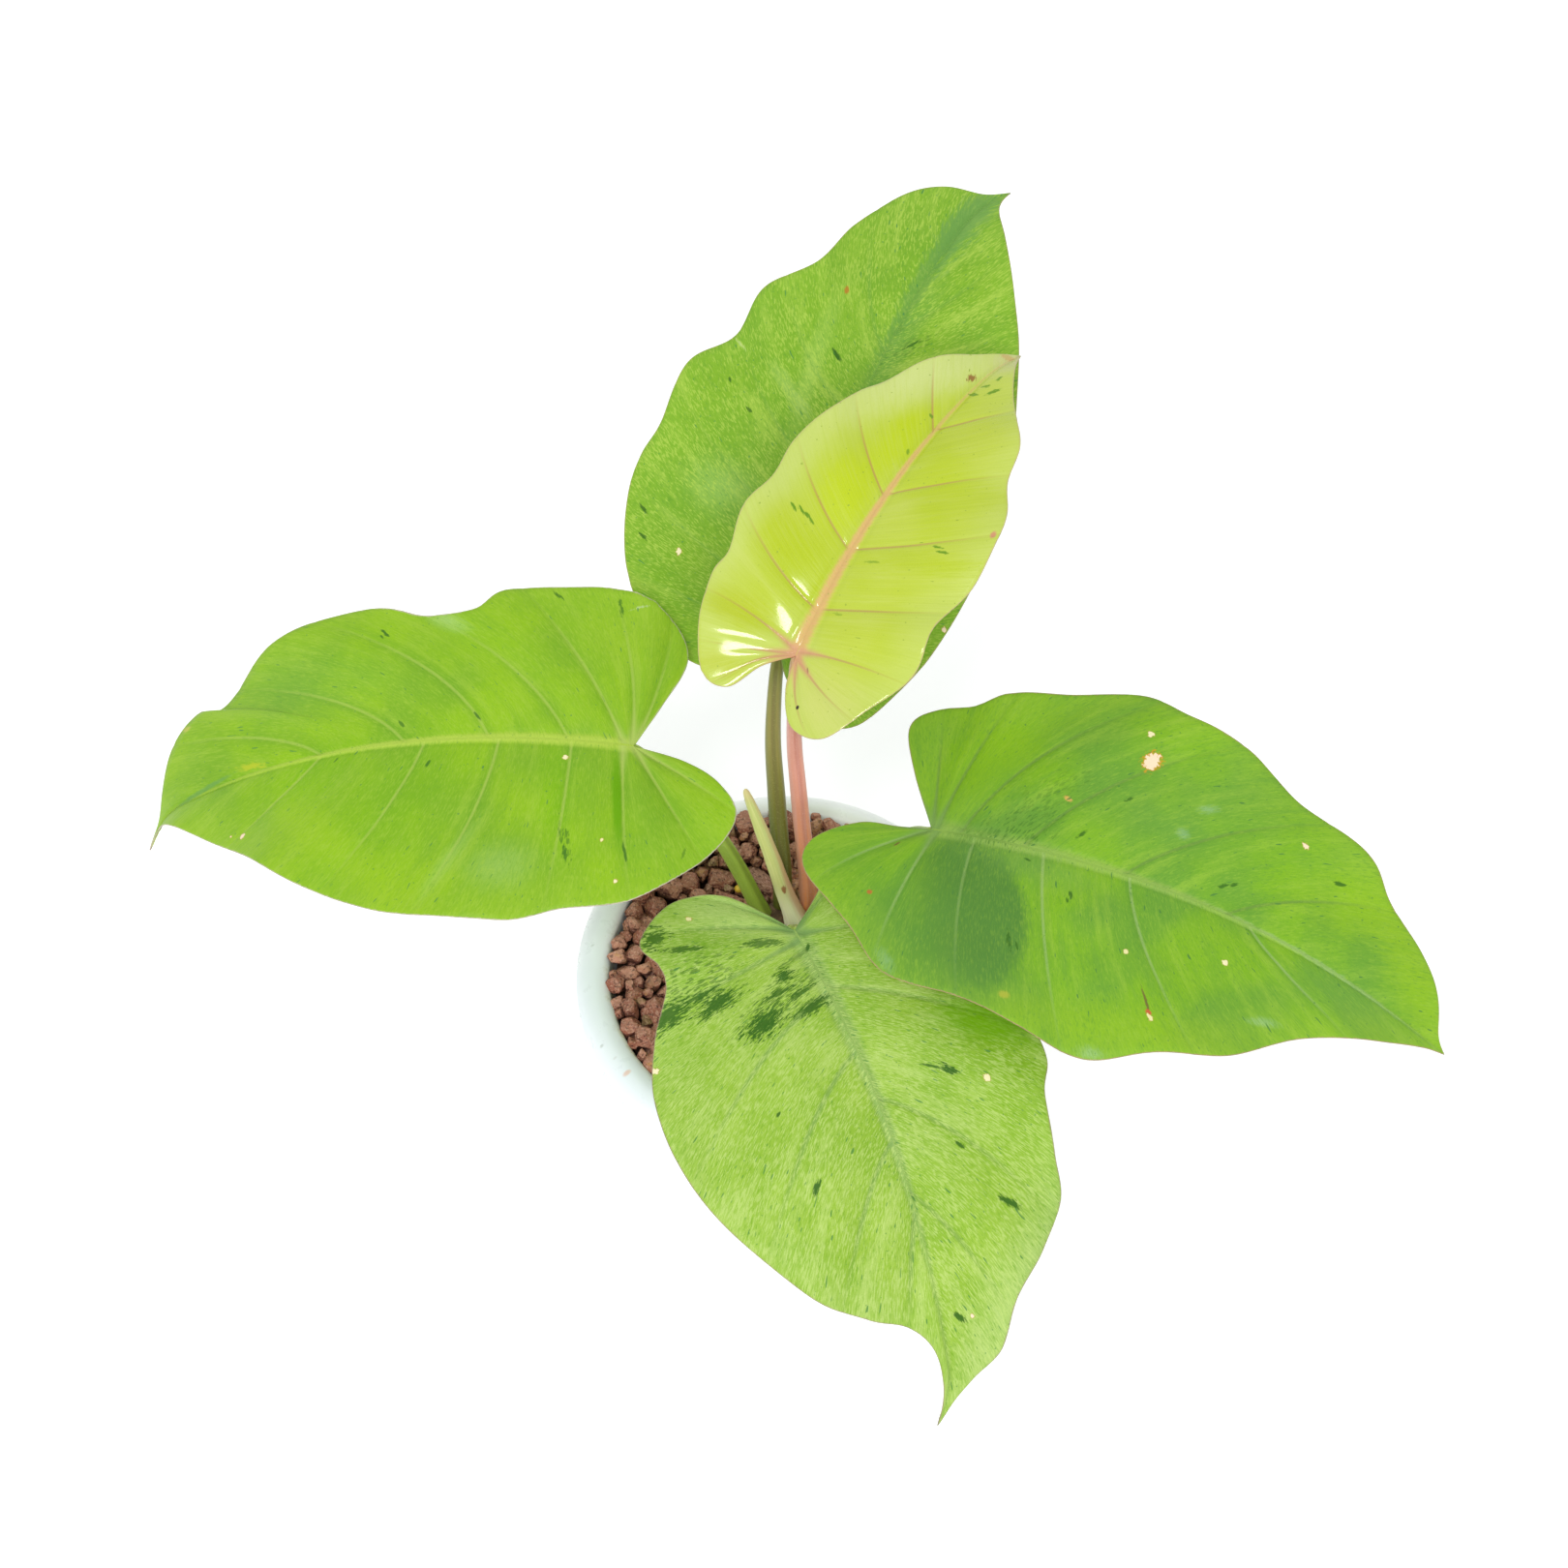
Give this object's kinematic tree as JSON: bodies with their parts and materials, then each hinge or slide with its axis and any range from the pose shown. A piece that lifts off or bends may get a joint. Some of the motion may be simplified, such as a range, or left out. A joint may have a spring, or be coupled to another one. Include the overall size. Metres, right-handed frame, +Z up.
{
  "type": "potted jungle fever philodendron",
  "caption": "Young philodendron with wavy heart-shaped leaves on slender petioles, in a plain white plastic pot filled with crushed lava gravel.",
  "frame": {"origin": "centre of the pot's flat base, on the surface that the pot stands on", "axes": "+Z up, -Y towards the front leaf, +X towards the right-hand leaf as seen from the front"},
  "size_m": [0.5089, 0.4356, 0.312],
  "materials": {
    "pot": "smooth satin white with a faint cool tint",
    "lava_gravel": "rough porous reddish-brown stone",
    "crown_stem": "satin",
    "cataphyll": "satin with brown blemishes",
    "petiole_green": "satin",
    "petiole_olive": "satin",
    "petiole_pink": "satin",
    "blade_left": "satin, leathery",
    "blade_right": "satin, leathery",
    "blade_front": "satin, leathery, pale flecks",
    "blade_young": "glossy, thin",
    "blade_back": "satin, leathery"
  },
  "bodies": {
    "root": {"pot": "pot", "lava_gravel": "lava_gravel", "crown_stem": "crown_stem", "cataphyll": "cataphyll", "petiole_left": "petiole_green", "petiole_right": "petiole_green", "petiole_front": "petiole_green", "petiole_young": "petiole_pink", "petiole_back": "petiole_olive", "blade_left": "blade_left", "blade_right": "blade_right", "blade_front": "blade_front", "blade_young": "blade_young", "blade_back": "blade_back"}
  },
  "joints": []
}
